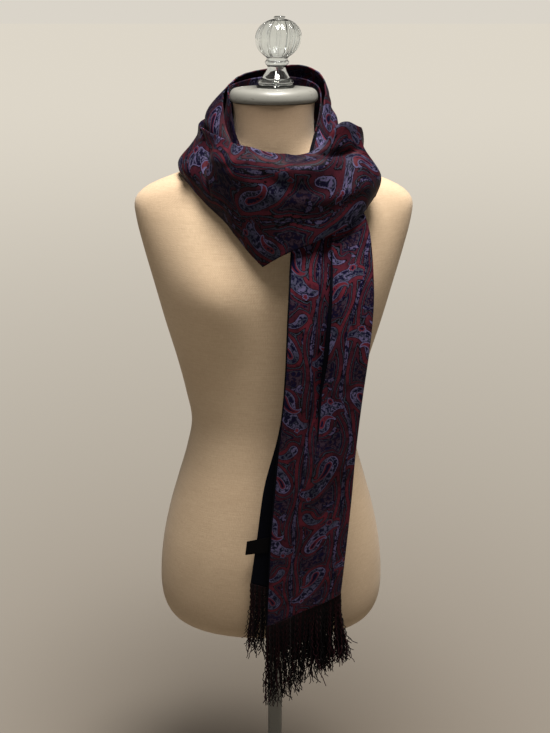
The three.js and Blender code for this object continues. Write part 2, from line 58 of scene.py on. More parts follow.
OUTER = table("turn topR topZ foldR foldZ nipR nipZ rimR rimZ creaseR creaseZ bellyR bellyZ hemR hemZ", [
    (-300, 57, 1122, 63, 1113, 69, 1104, 75, 1096, 81, 1088, 87, 1081, 92, 1075),
    (-282, 58.5, 1143, 65, 1131, 69, 1119, 76, 1107, 82, 1097, 88, 1089, 92, 1081),
    (-260, 60, 1161, 66, 1147, 69, 1132, 76, 1118, 82, 1105, 88, 1094, 91, 1084),
    (-235, 65, 1176, 71, 1161, 72, 1145, 79, 1128, 83, 1112, 87, 1098, 89, 1086),
    (-205, 70, 1185, 76, 1169, 75, 1151, 81, 1134, 82, 1117, 86, 1101, 87, 1087),
    (-175, 70, 1180, 76, 1165, 75, 1149, 82, 1133, 83, 1117, 87, 1101, 88, 1087),
    (-148, 66, 1175, 74, 1159, 75, 1137, 84, 1133, 87, 1118, 94, 1100, 95, 1085),
    (-120, 62, 1165, 76, 1146, 78, 1116, 87, 1127, 91, 1112, 104, 1092, 102, 1079),
    (-96, 61, 1157, 82, 1133, 81, 1102, 89, 1121, 93, 1107, 110, 1084, 107, 1073),
    (-76, 62, 1141, 78, 1124, 79, 1099, 87, 1119, 91, 1103, 112, 1078, 110, 1064),
    (-56, 65, 1114, 72, 1106, 75, 1094, 80, 1113, 85, 1096, 104, 1068, 104, 1040),
    (-38, 67, 1096, 69, 1090, 72, 1087, 76, 1107, 81, 1092, 99, 1060, 100, 1020),
    (-20, 68, 1088, 69, 1092, 71, 1097, 75, 1102, 79, 1090, 99, 1053, 101, 993),
    (-9.4, 69, 1082, 70.5, 1088, 71, 1094, 75, 1099, 79, 1089, 100, 1046, 102, 977),
    (7, 72, 1080, 72.5, 1086, 73.5, 1092, 77.5, 1097, 82, 1088, 105, 1048, 105, 991),
    (20, 80, 1080, 80, 1086, 81, 1092, 85, 1097, 89, 1089, 113, 1052, 112, 1002),
    (33, 88, 1087, 88, 1095, 88.5, 1102, 93, 1107, 97, 1094, 122, 1057, 121, 1014),
    (46, 96, 1103, 95, 1112, 95.5, 1121, 100, 1128, 105, 1101, 132, 1065, 129, 1029),
    (60, 106, 1104, 105, 1112, 106, 1120, 111, 1126, 114, 1104, 136, 1073, 131, 1048),
])
POINT_TURN = -9.4
INNER = table("turn topR topZ midR midZ lowR lowZ", [
    (-300, 53.5, 1117, 62, 1098, 79, 1078),
    (-270, 54.5, 1151, 60, 1122, 77, 1082),
    (-235, 57.5, 1166, 65, 1130, 77, 1086),
    (-180, 62, 1172, 68, 1133, 76, 1088),
    (-125, 56, 1166, 63, 1133, 76, 1088),
    (-92, 54.5, 1160, 60, 1132, 75, 1088),
    (-72, 54.5, 1142, 60, 1122, 76, 1089),
    (-50, 56, 1108, 61, 1094, 70, 1080),
    (-20, 59, 1086, 62, 1074, 66, 1061),
    (10, 60, 1078, 62, 1063, 65, 1047),
    (30, 61, 1064, 62.5, 1053, 64, 1042),
    (47, 76, 1060, 77.5, 1050, 79, 1040),
    (60, 98, 1060, 99.5, 1053, 101, 1046),
])
TAIL_COLUMNS = "along leftX leftY leftZ rightX rightY rightZ arch valley turned under"
FRONT_TAIL = table(TAIL_COLUMNS, [
    (0, 49.4, -28.5, 1122, 81.8, -50.3, 1075, 0.5, 0.5, 0.06, 2.5),
    (30, 43, -51, 1101, 87, -60, 1061, 1, 1, 0.1, 2.5),
    (66, 34, -70, 1072, 96, -72, 1043, 2, 2, 0.16, 2.6),
    (104, 25, -82, 1038, 106, -82, 1017, 3, 4, 0.24, 3),
    (146, 18.5, -94, 1000, 110.5, -94, 985, 4.5, 7, 0.32, 4),
    (200, 15.5, -111, 946, 112.5, -110, 938, 6, 11, 0.36, 5),
    (260, 13.2, -117, 885, 109.5, -117, 884, 6, 15, 0.36, 5),
    (320, 10.5, -118, 822, 104, -118, 826, 6, 18, 0.36, 5),
    (365, 5.5, -118, 774, 100.5, -118, 784, 6, 10, 0.36, 5),
    (410, 1.2, -118, 727, 97.5, -118, 741, 5, 3, 0.36, 5),
    (470, -3.5, -118, 664, 95, -118, 684, 4, 1, 0.35, 5),
    (540, -8, -118.5, 590, 91, -118.5, 618, 4, 1, 0.34, 5),
    (645, -12, -119, 484, 85.5, -119, 538, 4, 2, 0.33, 5),
])
BACK_TAIL = table(TAIL_COLUMNS, [
    (0, 46.3, -26.7, 1117, 68.4, -39.5, 1079, 0.5, 0, 0, 0),
    (30, 39, -43, 1094, 76, -52, 1065, 0.5, 0, 0, 0),
    (66, 33, -58, 1066, 84, -62, 1046, 1, 1, 0, 0),
    (104, 27, -71, 1032, 90, -71, 1018, 1.5, 2, 0, 0),
    (146, 22, -83, 995, 93, -83, 985, 2, 2, 0, 0),
    (200, 19.5, -101, 943, 94, -100, 938, 2, 2, 0, 0),
    (260, 17, -104, 884, 92, -104, 884, 2, 2, 0, 0),
    (320, 12.5, -104, 823, 89, -104, 826, 2, 2, 0, 0),
    (380, 3.5, -104, 761, 86, -104, 768, 2, 2, 0, 0),
    (450, -13.5, -105, 690, 82, -105, 700, 2, 2, 0, 0),
    (520, -23, -106, 617, 77, -106, 622, 2, 2, 0, 0),
    (592, -32.5, -108, 546, 71, -108, 522, 2, 2, 0, 0),
])
FORM = table("z side front back", [
    (425, 118, 62, 70), (432, 140, 80, 90), (448, 153, 91, 101), (475, 159, 96, 106), (515, 158, 98, 108),
    (560, 152, 97, 104), (605, 142, 92, 95), (650, 129, 85, 85), (695, 116, 77, 76), (740, 108, 72, 71),
    (785, 115, 73, 73), (830, 125, 76, 78), (880, 138, 79, 84), (930, 150, 79, 87), (975, 161, 72, 84),
    (1015, 169, 60, 75), (1036, 168, 51, 66), (1050, 152, 47, 62), (1062, 122, 46, 59), (1074, 88, 46, 56),
    (1088, 62, 46, 52), (1104, 50, 46.5, 49), (1125, 47.5, 47, 48), (1147, 48, 48, 48),
])
FORM_SQUARENESS = 2.3
BUST = dict(x=76, z=932, depth=19, wide=46, high=62)
LEAN = dict(x=-1.6, more=-4.2, z=760, high=70)
CAP = table("radius z", [
    (47, 0), (49.5, 0.4), (51, 1.6), (51.8, 3.2), (52, 5), (51.7, 7.4), (51, 9.8), (49.9, 11.8), (48.3, 13.4),
    (46, 14.6), (43, 15.2), (38, 15.3), (30, 15.3),
])
FINIAL = table("z radius rib", [
    (0, 21.5, 0), (1.6, 22.4, 0), (3, 21.6, 0), (3.9, 19.4, 0), (4.8, 20, 0), (6.6, 21.4, 0), (8.4, 20.4, 0),
    (9.6, 18, 0), (13, 15.4, 0), (17, 12.8, 0), (20.5, 11, 0), (24, 11, 0), (26.5, 13.6, 0), (28.5, 14, 0),
    (30.3, 12.4, 0), (33, 12.6, 0), (35.2, 15.6, 0.5), (40, 21.4, 1), (46, 24.8, 1), (53, 26.2, 1), (60, 25.4, 1),
    (66, 22, 1), (71, 16, 0.9), (73.8, 9, 0.5), (74.4, 5.4, 0), (75.4, 6.4, 0), (76.6, 6.4, 0), (77.4, 4, 0),
])
FINIAL_RIBS = 12
FINIAL_LEAN = dict(start=0.5, slope=0.062)
GROOVE = dict(depth=0.07, wide=0.075, shift=0.37)
GLASS_WALL = 2.2
# Each fold of the loop: turn and v at one end, turn and v at the other, how wide it is in v, how far out it stands
LOOP_CREASES = [
    (-62, 0.685, 6, 0.70, 0.03, -2.6), (-60, 0.63, 18, 0.645, 0.035, 1.6), (-4, 0.68, 30, 0.63, 0.022, -2.4),
    (-64, 0.665, -47, 0.87, 0.03, -6.5), (-76, 0.74, -64, 0.86, 0.06, 4.0), (-44, 0.865, 42, 0.90, 0.06, -4.0),
    (24, 0.615, 62, 0.665, 0.024, -9.0), (34, 0.545, 62, 0.565, 0.09, 2.2), (40, 0.76, 62, 0.79, 0.05, 2.6),
    (-42, 0.80, 30, 0.90, 0.035, -2.2), (-46, 0.76, 36, 0.84, 0.035, 1.8), (-20, 0.72, 44, 0.80, 0.03, -1.8),
    (-30, 0.92, 24, 0.955, 0.028, 1.4), (8, 0.87, 54, 0.93, 0.03, -2.6), (20, 0.80, 58, 0.885, 0.028, 2.0),
    (-90, 0.52, -62, 0.60, 0.03, -2.0), (-84, 0.86, -56, 0.90, 0.04, -1.8), (-190, 0.3, -120, 0.55, 0.06, -2.4),
    (-215, 0.62, -140, 0.75, 0.06, 2.2), (-260, 0.35, -205, 0.62, 0.05, -2.0), (-285, 0.5, -220, 0.8, 0.05, 1.8),
    (-150, 0.2, -96, 0.24, 0.04, -2.0), (-170, 0.85, -105, 0.9, 0.04, -1.8), (-296, 0.30, -232, 0.16, 0.05, -3.2),
    (-290, 0.42, -240, 0.30, 0.05, 2.4), (-268, 0.82, -180, 0.66, 0.05, -3.6), (-250, 0.90, -196, 0.80, 0.04, 2.2),
    (-205, 0.18, -128, 0.36, 0.05, -3.4), (-196, 0.10, -140, 0.26, 0.05, 2.2), (-176, 0.58, -104, 0.80, 0.045, -3.8),
    (-160, 0.70, -112, 0.90, 0.04, 2.6), (-132, 0.30, -84, 0.44, 0.04, -2.6), (-232, 0.50, -168, 0.44, 0.04, -2.6),
    (-146, 0.46, -100, 0.62, 0.035, 1.8), (-284, 0.66, -262, 0.90, 0.05, -2.4),
]
# The print's repeat in millimetres. Each drop: its place, its length and radius, its lean and its curl in radians
REPEAT = dict(along=168.0, across=58.0, shift=0.47)
LARGE_DROPS = [
    ((28, -5), (62, 15.0), 0.15, 2.3), ((140, 4), (56, 12.5), -2.75, 2.5), ((92, 14), (33, 7.5), -0.5, -2.4),
]
SMALL_DROPS = [((27, -5), (34, 5.8), 0.25, 2.6), ((141, 4), (28, 4.6), -2.7, 2.6)]
# Each rosette: its place, its radius and its petals
ROSETTES = [((112, -15), 4.8, 7), ((66, 15), 3.6, 5)]

# Shapes


def smooth(rows, key, at, corner=None):
    """Each column of a table at the given keys, smooth between rows. corner is a row that keeps a sharp hem."""
    keys = rows[key]
    n = len(keys)
    i = np.clip(np.searchsorted(keys, at, side="right") - 1, 0, n - 2)
    span = keys[i + 1] - keys[i]
    t = (at - keys[i]) / span
    low, high = np.maximum(np.arange(n) - 1, 0), np.minimum(np.arange(n) + 1, n - 1)
    out = {}
    for name, col in rows.items():
        slope = (col[high] - col[low]) / (keys[high] - keys[low])
        start, end = slope[i], slope[i + 1]
        if corner is not None and name == "hemZ":
            k = int(np.argmin(np.abs(keys - corner)))
            start = np.where(i == k, (col[k + 1] - col[k]) / (keys[k + 1] - keys[k]), start)
            end = np.where(i + 1 == k, (col[k] - col[k - 1]) / (keys[k] - keys[k - 1]), end)
        start, end = start * span, end * span
        rise = col[i + 1] - col[i]
        out[name] = col[i] + t * (start + t * (3 * rise - 2 * start - end + t * (start + end - 2 * rise)))
    return out


def spline(points, t):
    """A smooth curve through evenly spaced points, each a pair of arrays."""
    n = len(points)
    place = np.clip(t, 0, 1) * (n - 1)
    i = np.minimum(place.astype(int), n - 2)
    w = place - i
    result = []
    for axis in (0, 1):
        stack = np.array([np.broadcast_to(p[axis], t.shape) for p in points])
        a, b, c, d = (np.take_along_axis(stack, np.clip(i + k, 0, n - 1)[None], 0)[0] for k in (-1, 0, 1, 2))
        v0, v1 = (c - a) / 2, (d - b) / 2
        result.append(b + w * (v0 + w * (3 * (c - b) - 2 * v0 - v1 + w * (2 * (b - c) + v0 + v1))))
    return result


def bump(value, middle, wide):
    return np.exp(-(((value - middle) / wide) ** 2))


def eased(value):
    """A value held between 0 and 1, with soft ends."""
    share = np.clip(value, 0, 1)
    return share * share * (3 - 2 * share)


def gate(value, rise, rise_wide, fall, fall_wide):
    """1 between two places and 0 outside them, with a soft step at each."""
    return 1 / (1 + np.exp(-(value - rise) / rise_wide)) / (1 + np.exp((value - fall) / fall_wide))


def around(turn, radius, height):
    a = np.radians(turn)
    return np.stack([radius * np.sin(a), -radius * np.cos(a), height + 0 * a], -1)


LATTICE = np.random.default_rng(41).normal(size=(64, 64))


def noise(x, y, seed=0):
    """Smooth value noise of about unit size, one lump for each unit."""
    x, y = x + 17.3 * seed, y + 9.1 * seed
    ix, iy = np.floor(x).astype(int), np.floor(y).astype(int)
    fx, fy = eased(x - ix), eased(y - iy)

    def at(right, up):
        return LATTICE[(ix + right) % 64, (iy + up) % 64]

    low = at(0, 0) * (1 - fx) + at(1, 0) * fx
    high = at(0, 1) * (1 - fx) + at(1, 1) * fx
    return low * (1 - fy) + high * fy


def outer_cloth(turn, v):
    """The wrap that shows: v runs from its top edge over the fold and the rim to the hem."""
    r = smooth(OUTER, "turn", turn, POINT_TURN)
    profile = [(r[n + "R"], r[n + "Z"]) for n in ("top", "fold", "nip", "rim", "crease", "belly", "hem")]
    radius, height = spline(profile, v)
    puff = 2 * bump(turn, -76, 13) * bump(height, 1078, 17) - 5 * bump(turn, -58, 5) * bump(height, 1082, 22)
    return around(turn, radius + puff, height)


def inner_cloth(turn, v):
    r = smooth(INNER, "turn", turn)
    radius, height = spline([(r[n + "R"], r[n + "Z"]) for n in ("top", "mid", "low")], v)
    return around(turn, radius, height)


def tail_cloth(rows, along, v):
    """A hanging end: v runs from its left edge to its right one, and on round the side that is turned under."""
    r = smooth(rows, "along", along)
    left = np.stack([r["leftX"], r["leftY"], r["leftZ"]], -1)
    across = np.stack([r["rightX"], r["rightY"], r["rightZ"]], -1) - left
    out = np.cross(np.array([0, -0.25, -1.0]), across)
    out /= np.linalg.norm(out, axis=-1, keepdims=True)
    arch, valley, turned, under = r["arch"], r["valley"], r["turned"], r["under"]
    points = [(0, 0), (1 / 6, 0.8 * arch), (1 / 3, arch), (1 / 2, arch - valley), (2 / 3, arch),
              (5 / 6, 0.9 * arch), (1, 0)]
    if rows["turned"].any():
        points[-1] = (0.985, 0.2 * arch)
        points += [(1, -0.5 * under), (0.97, -under), (0.97 - turned * 0.5, -under), (0.97 - turned, -under)]
    x, depth = spline(points, v)
    return left + across * x[..., None] + out * depth[..., None]


def rounded(value):
    return np.sign(value) * np.abs(value) ** (2 / FORM_SQUARENESS)


def form_point(z, angle):
    r = smooth(FORM, "z", z)
    x = r["side"] * rounded(np.cos(angle))
    ahead = rounded(np.sin(angle))
    bust = BUST["depth"] * bump(np.abs(x), BUST["x"], BUST["wide"]) * bump(z, BUST["z"], BUST["high"])
    bust = bust * np.sqrt(np.abs(ahead))
    y = np.where(ahead > 0, -ahead * r["front"] - bust, -ahead * r["back"])
    lean = LEAN["x"] + LEAN["more"] / (1 + np.exp((z - LEAN["z"]) / LEAN["high"]))
    return np.stack([x + lean, y, z], -1)


# The print: drops, rosettes, sprays and ribbons, as distances in millimetres to their outlines


def drop(s, t, at, size, lean, curl):
    """Distance to a curled drop: circles of falling radius along a spine that bends more towards its tip."""
    x, y = t - at[1], s - at[0]
    best = np.full(s.shape, 1e9)
    heading, px, py = lean, 0.0, 0.0
    steps = 18
    step = size[0] / steps
    for k in range(steps + 1):
        q = k / steps
        best = np.minimum(best, np.hypot(x - px, y - py) - size[1] * (1 - q) ** 0.85 * (1 + 0.55 * q))
        px += step * math.sin(heading)
        py += step * math.cos(heading)
        heading += curl * (0.3 + 1.9 * q) / steps
    return best


def rosette(s, t, at, radius, petals):
    x, y = t - at[1], s - at[0]
    return np.hypot(x, y) - radius * (1 + 0.2 * np.cos(petals * np.arctan2(y, x)))


def ribbon(s, t, middle, sway, period, start):
    """Distance to a line that winds along the cloth."""
    a = 2 * np.pi * (s - start) / period
    slope = sway * 2 * np.pi / period * np.cos(a)
    return np.abs(t - middle - sway * np.sin(a)) / np.sqrt(1 + slope ** 2)


def spray_drops():
    """Three uneven sprays of small drops."""
    drops = []
    for k in range(6):
        size = 1.05 + 0.4 * math.sin(2.4 * k + 1)
        place = (98 + 10 * k + 3 * math.sin(3.1 * k), 18 - 2.4 * k + 5 * math.sin(1.1 * k))
        drops.append((place, (10 * size, 2.0 * size), -1.1 + 0.45 * k, 1.8))
        place = (6 + 12 * k + 4 * math.sin(1.7 * k + 2), 15 - k + 3 * math.sin(2.2 * k))
        drops.append((place, (10 * size, 1.8 * size), -0.7 - 0.7 * math.sin(1.9 * k), -1.8))
        place = (84 + 12 * k + 4 * math.sin(2.9 * k), -20 + 1.2 * k + 3 * math.sin(1.3 * k + 1))
        drops.append((place, (11 * size, 1.8 * size), 1.1 + 0.8 * math.sin(2.3 * k), 1.9))
    return drops


def print_fields(s, t):
    """Three distances: to the large drops and ribbons, to what lies inside them, and to the sprays and stems."""
    s, t = (s + 4 * np.sin(t / 19 + 1.3) + 3 * np.sin(s / 61 + t / 37),
            t + 2.6 * np.sin(s / 41 + 0.7) + 1.4 * np.sin(s / 17 + t / 23))
    column = np.floor(t / REPEAT["across"])
    even = column % 2 == 0
    y = (s + np.where(even, 0, REPEAT["along"] * REPEAT["shift"])) % REPEAT["along"]
    x = (t - (column + 0.5) * REPEAT["across"]) * np.where(even, 1.0, -1.0)
    lifted = [y - lift for lift in (-REPEAT["along"], 0, REPEAT["along"])]

    def nearest(shape, rows):
        return np.minimum.reduce([shape(yy, x, *row) for yy in lifted for row in rows])

    large = nearest(drop, LARGE_DROPS)
    small = np.minimum(nearest(drop, SMALL_DROPS), nearest(rosette, ROSETTES))
    fine = nearest(drop, spray_drops())
    side = REPEAT["across"] / 2 - np.abs(x)
    large = large + 0.34 * noise(s / 8, t / 8, 3) * np.clip(large, 0, 9)
    large = np.minimum(large, ribbon(y, side, 7.0, 2.6, REPEAT["along"] / 2, 11) + 0.4)
    fine = np.minimum(fine, np.abs(side - 1.2) - 0.9)
    return np.stack([large, small, fine], -1)


# Meshes


def add(name, data):
    obj = bpy.data.objects.new(name, data)
    bpy.context.scene.collection.objects.link(obj)
    return obj


def own(obj, slot, *nodes):
    """Takes a piece into the part: what it rides on and what it stands for. slot, its material slot, is not used."""
    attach(obj, "root")
    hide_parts(*nodes)
    return obj


def grid_mesh(name, points, uv=None, fields=None, close=False, materials=(), edge=0):
    """A mesh over a grid of points in millimetres, made with bmesh, with its own UV map in metres.

    edge is how many cells at its first side have the second material.
    """
    nu, nv = points.shape[0] - 1, points.shape[1] - 1
    bm = bmesh.new()
    bmesh.ops.create_grid(bm, x_segments=nu, y_segments=nv, size=1.0)
    mesh = bpy.data.meshes.new(name)
    bm.to_mesh(mesh)
    bm.free()
    flat = np.empty(len(mesh.vertices) * 3)
    mesh.vertices.foreach_get("co", flat)
    flat = flat.reshape(-1, 3)
    i = np.rint((flat[:, 0] + 1) / 2 * nu).astype(int)
    j = np.rint((flat[:, 1] + 1) / 2 * nv).astype(int)
    mesh.vertices.foreach_set("co", (points[i, j] * MM).ravel())
    corners = np.empty(len(mesh.loops), int)
    mesh.loops.foreach_get("vertex_index", corners)
    if uv is not None:
        mesh.uv_layers.new(name="cloth").uv.foreach_set("vector", (uv[i, j] * MM)[corners].ravel())
    if edge:
        mesh.polygons.foreach_set("material_index", (j[corners].reshape(-1, 4).max(1) <= edge).astype(int))
    if fields is not None:
        mesh.attributes.new("print", "FLOAT_VECTOR", "POINT").data.foreach_set("vector", fields[i, j].ravel())
    if close:
        bm = bmesh.new()
        bm.from_mesh(mesh)
        bmesh.ops.remove_doubles(bm, verts=bm.verts, dist=1e-6)
        bmesh.ops.recalc_face_normals(bm, faces=bm.faces)
        bm.to_mesh(mesh)
        bm.free()
    mesh.polygons.foreach_set("use_smooth", np.ones(len(mesh.polygons), bool))
    for kind in materials:
        mesh.materials.append(kind)
    return add(name, mesh)


def pushed(points, out):
    """The points moved out along the cloth's normals."""
    n = np.cross(np.gradient(points, axis=1), np.gradient(points, axis=0))
    n = n / np.maximum(np.linalg.norm(n, axis=-1, keepdims=True), 1e-9)
    return points + n * out[..., None]


def stretch(start, end, nu, nv):
    """Two arrays over a grid: from start to end along it, and from 0 to 1 across it."""
    return np.meshgrid(np.linspace(start, end, nu + 1), np.linspace(0, 1, nv + 1), indexing="ij")


def cloth(name, points, along, shift, materials, wall, nodes, edge=0, back=0, rim=0):
    """A shell of cloth on a grid, as its piece. shift is where along and across the print it begins.

    back and rim are how many places on in materials its inner side and its rim are.
    """
    step = np.linalg.norm(np.diff(points, axis=1), axis=-1)
    across = np.concatenate([np.zeros((len(points), 1)), np.cumsum(step, 1)], 1)
    fields = print_fields(along + shift[0], across + shift[1])
    obj = grid_mesh(name, points, np.stack([along, across], -1), fields, materials=materials, edge=edge)
    shell = obj.modifiers.new("thickness", "SOLIDIFY")
    shell.thickness = wall * MM
    shell.offset = 0.0
    shell.use_even_offset = False
    shell.material_offset = back
    shell.material_offset_rim = rim
    return own(obj, "print", *nodes)


# Materials: colours are sRGB codes, and the print's dyes have names


def linear(code):
    part = [int(code[i:i + 2], 16) / 255 for i in (0, 2, 4)]
    return tuple(c / 12.92 if c <= 0.04045 else ((c + 0.055) / 1.055) ** 2.4 for c in part) + (1.0,)


DYES = {name: linear(code) for name, code in dict(
    indigo="0b0821", lavender="524b6b", slate="2b2e3b", maroon="33131e", brick="4c1a24", deep_wine="1a0b15",
    black="030204").items()}
# The print's colours, each laid over those before it: the distance that it goes by, from and to in millimetres
PRINT_BANDS = [
    ("large", 7.6, 8.3, "slate"), ("large", 7.0, 7.6, "black"), ("large", 4.3, 5.9, "maroon"),
    ("large", 3.7, 4.3, "black"), ("large", 2.8, 3.7, "slate"), ("large", 2.2, 2.8, "black"),
    ("fine", 0, 0.6, "black"), ("fine", -9, 0, "sprig"), ("large", -1.5, 2.2, "wine"), ("large", -2.1, -1.5, "black"),
    ("large", -3.0, -2.1, "pale"), ("large", -99, -3.0, "ground"), ("small", 0, 0.6, "black"),
    ("small", -1.1, 0, "pale"), ("small", -2.9, -1.1, "brick"), ("small", -99, -2.9, "indigo"),
]
TWILL_PITCH, RIBBON_PITCH, LINEN_PITCH = 0.6, 0.5, 0.9


def material(name):
    m = bpy.data.materials.new(name)
    m.use_nodes = True
    return m, m.node_tree, m.node_tree.nodes["Principled BSDF"]


def plug(tree, n, inputs):
    """Links each input of a node, or sets its plain value."""
    for key, value in inputs.items():
        if hasattr(value, "is_output"):
            tree.links.new(value, n.inputs[key])
        else:
            n.inputs[key].default_value = value


def node(tree, kind, inputs=None, **settings):
    n = tree.nodes.new(kind)
    for key, value in settings.items():
        setattr(n, key, value)
    plug(tree, n, inputs or {})
    return n


def maths(tree, operation, a, b=0.0, c=0.0):
    return node(tree, "ShaderNodeMath", {0: a, 1: b, 2: c}, operation=operation).outputs[0]


def mix(tree, factor, a, b, blend="MIX"):
    n = node(tree, "ShaderNodeMix", {0: factor, 6: a, 7: b}, data_type="RGBA", blend_type=blend)
    return n.outputs[2]


def ramp(tree, value, low, high, start=0.0, end=1.0):
    """A value between low and high scaled to run from start to end, and held at both."""
    return node(tree, "ShaderNodeMapRange", {0: value, 1: low, 2: high, 3: start, 4: end}).outputs[0]


def scaled(tree, vector, factors):
    return node(tree, "ShaderNodeVectorMath", {0: vector, 1: factors}, operation="MULTIPLY").outputs[0]


def uv_mm(tree):
    """The cloth's own UV map, in millimetres."""
    return scaled(tree, node(tree, "ShaderNodeUVMap", uv_map="cloth").outputs[0], (1000, 1000, 1000))


def object_mm(tree):
    return scaled(tree, node(tree, "ShaderNodeTexCoord").outputs["Object"], (1000, 1000, 1000))


def noise_node(tree, vector, size, detail=2.0, roughness=0.5, distortion=0.0):
    """Noise with lumps of a size in millimetres."""
    inputs = {"Vector": vector, "Scale": 1 / size, "Detail": detail, "Roughness": roughness, "Distortion": distortion}
    return node(tree, "ShaderNodeTexNoise", inputs).outputs[0]


def relief(tree, shader, height, strength, depth):
    """Bends the shading by a height, with depth in millimetres."""
    b = node(tree, "ShaderNodeBump", {"Strength": strength, "Distance": depth * MM, "Height": height})
    plug(tree, shader, {"Normal": b.outputs[0]})


def twill(tree, vector):
    """Height of a fine diagonal weave. A wave texture of scale 1 has a rib for each 0.31."""
    inputs = {"Vector": vector, "Scale": 0.31 / TWILL_PITCH, "Distortion": 0.6, "Detail": 1.0}
    return node(tree, "ShaderNodeTexWave", inputs, bands_direction="DIAGONAL").outputs[1]


def weave(tree, vector, pitch):
    """Height of a plain weave: two crossing sets of threads."""
    apart = node(tree, "ShaderNodeSeparateXYZ", {0: vector})
    a, b = (maths(tree, "SINE", maths(tree, "MULTIPLY", apart.outputs[i], math.pi / pitch)) for i in (0, 1))
    return maths(tree, "MULTIPLY", a, b)


# Printed satin twill: dyed motifs on an indigo ground, with a soft sheen. A strength under 1 mixes the print towards
# black, as painted shade
def printed_cloth(name, strength):
    m, tree, shader = material(name)
    uv = uv_mm(tree)
    source = node(tree, "ShaderNodeAttribute", attribute_name="print").outputs["Vector"]
    apart = node(tree, "ShaderNodeSeparateXYZ", {0: source})
    jitter = maths(tree, "MULTIPLY", maths(tree, "SUBTRACT", noise_node(tree, uv, 1.3), 0.5), 1.5)
    fields = {key: maths(tree, "ADD", apart.outputs[i], jitter) for i, key in enumerate(("large", "small", "fine"))}

    tone = ramp(tree, noise_node(tree, uv, 34.0, 1.0), 0.38, 0.66)
    leaf = noise_node(tree, uv, 4.6, 3.0, 0.66, 0.8)
    edge, cover = ramp(tree, leaf, 0.475, 0.49), ramp(tree, leaf, 0.525, 0.545)
    mottle = ramp(tree, noise_node(tree, uv, 8.0, 3.0), 0.5, 0.75)
    colours = dict(DYES)
    pale = colours["pale"] = mix(tree, tone, DYES["lavender"], DYES["slate"])
    colours["ground"] = mix(tree, cover, mix(tree, edge, DYES["indigo"], DYES["slate"]), pale)
    colours["wine"] = mix(tree, mottle, mix(tree, tone, DYES["maroon"], DYES["brick"]), DYES["deep_wine"])
    colours["sprig"] = mix(tree, edge, DYES["indigo"], mix(tree, 0.35, pale, DYES["deep_wine"]))
    leaves = mix(tree, 0.5, DYES["slate"], DYES["maroon"])
    col = mix(tree, cover, mix(tree, edge, DYES["indigo"], DYES["deep_wine"]), leaves)
    for key, low, high, colour in PRINT_BANDS:
        inside = maths(tree, "COMPARE", fields[key], (low + high) / 2, (high - low) / 2)
        col = mix(tree, inside, col, colours[colour])
    col = mix(tree, 0.3, col, noise_node(tree, uv, 1.6, 3.0), "SOFT_LIGHT")
    # Painted shade: a strength under 1 darkens the whole print towards black
    col = mix(tree, strength, DYES["black"], col)
    plug(tree, shader, {"Base Color": col, "Roughness": 0.52, "Specular IOR Level": 0.045,
                        "Sheen Weight": 0.012, "Sheen Roughness": 0.35})
    relief(tree, shader, twill(tree, uv), 0.35, 0.08)
    return m


# Navy polyester backing: plain, near black, with a fine twill
def backing_cloth():
    m, tree, shader = material("navy_backing_twill")
    uv = uv_mm(tree)
    col = mix(tree, noise_node(tree, uv, 9.0, 3.0), linear("030409"), linear("05060f"))
    plug(tree, shader, {"Base Color": col, "Roughness": 0.75, "Specular IOR Level": 0.04})
    relief(tree, shader, twill(tree, uv), 0.3, 0.08)
    return m


# Black satin ribbon, close woven
def satin_ribbon():
    m, tree, shader = material("black_satin_ribbon")
    plug(tree, shader, {"Base Color": linear("040305"), "Roughness": 0.6, "Specular IOR Level": 0.05})
    relief(tree, shader, weave(tree, object_mm(tree), RIBBON_PITCH), 0.3, 0.05)
    return m


# Twisted fringe yarn, piece dyed
def yarn(name, code):
    m, tree, shader = material(name)
    place = object_mm(tree)
    col = mix(tree, noise_node(tree, place, 2.0, 3.0), linear(code), linear("060508"))
    plug(tree, shader, {"Base Color": col, "Roughness": 0.65, "Specular IOR Level": 0.08})
    relief(tree, shader, noise_node(tree, place, 0.5), 0.5, 0.1)
    return m


# Natural linen stretched over the form: slubbed threads both ways, with some soiling, and the neck darker towards its
# top as painted shade
def linen_cloth():
    m, tree, shader = material("natural_linen_weave")
    uv, place = uv_mm(tree), object_mm(tree)

    def threads(squeeze, size):
        return ramp(tree, noise_node(tree, scaled(tree, uv, squeeze), size), 0.32, 0.68)

    weft, warp = threads((0.11, 1.0, 1.0), 0.8), threads((1.0, 0.11, 1.0), 0.8)
    slubs = maths(tree, "MULTIPLY", threads((0.05, 1.0, 1.0), 1.6), 0.28)
    thread = maths(tree, "MULTIPLY_ADD", maths(tree, "ADD", weft, warp), 0.36, slubs)
    soil = maths(tree, "MULTIPLY", noise_node(tree, place, 70.0, 4.0), 0.45)
    height = node(tree, "ShaderNodeSeparateXYZ", {0: place}).outputs[2]
    # Painted shade: the linen darkens up the neck towards the cap
    painted_neck_shade = ramp(tree, height, 1075.0, 1135.0, 0.0, 0.5)
    col = mix(tree, soil, mix(tree, thread, linear("b09a80"), linear("cab498")), linear("a38a70"))
    col = mix(tree, painted_neck_shade, col, linear("8a7460"))
    plug(tree, shader, {"Base Color": col, "Roughness": 0.88, "Specular IOR Level": 0.15, "Sheen Weight": 0.1})
    raised = maths(tree, "ADD", weave(tree, uv, LINEN_PITCH), maths(tree, "MULTIPLY", thread, 2.0))
    relief(tree, shader, raised, 0.4, 0.2)
    return m


